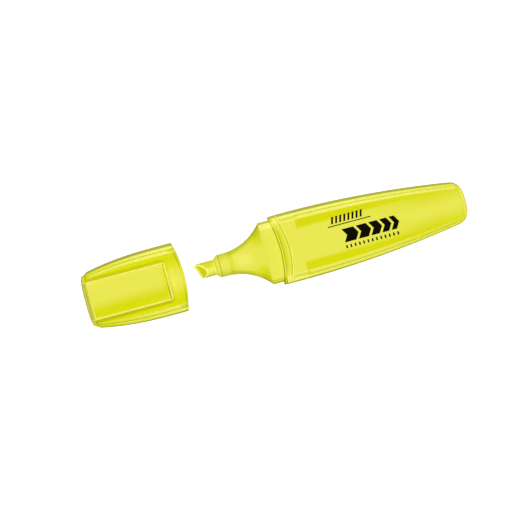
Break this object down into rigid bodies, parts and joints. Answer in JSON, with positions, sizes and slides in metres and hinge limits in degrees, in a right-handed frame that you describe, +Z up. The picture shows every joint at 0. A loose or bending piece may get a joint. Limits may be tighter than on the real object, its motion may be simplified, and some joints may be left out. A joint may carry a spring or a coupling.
{
  "type": "highlighter",
  "caption": "Flat-bodied highlighter with a slanted chisel nib, a tapering translucent barrel and a clip cap drawn off and lying in line with the nib.",
  "frame": {"origin": "under the middle of the whole object, cap drawn off, on the plane that the barrel's back rests on", "axes": "+X along the pen from the cap's closed end to the barrel's tail, +Y across its width towards the long corner of the nib, +Z up, out of the faces that carry the clip and the print"},
  "size_m": [0.145, 0.026, 0.0178],
  "materials": {
    "barrel_plastic": "glossy translucent fluorescent yellow",
    "section_plastic": "glossy translucent fluorescent yellow",
    "nib_fibre": "compressed fibre, soaked with yellow ink",
    "ink_filler": "polyester fibre, soaked with yellow ink",
    "film": "thin translucent film",
    "cap_plastic": "glossy translucent fluorescent yellow",
    "seal_plastic": "soft satin plastic, paler yellow",
    "clip_plastic": "glossy translucent fluorescent yellow"
  },
  "bodies": {
    "pen": {"barrel": "barrel_plastic", "front_section": "section_plastic", "nib": "nib_fibre", "reservoir_core": "ink_filler", "reservoir_film": "film"},
    "cap": {"cap_shell": "cap_plastic", "inner_cap": "seal_plastic"},
    "clip": {"pocket_clip": "clip_plastic"}
  },
  "joints": [
    {"name": "cap_slide", "type": "slide", "parent": "pen", "child": "cap", "axis": [1, 0, 0], "range_m": [0, 0.0363]},
    {"name": "clip_flex", "type": "hinge", "parent": "cap", "child": "clip", "pos_m": [-0.07075, 0, 0.01715], "axis": [0, -1, 0], "range_deg": [0, 6], "stiffness_Nm_per_rad": 0.5}
  ]
}
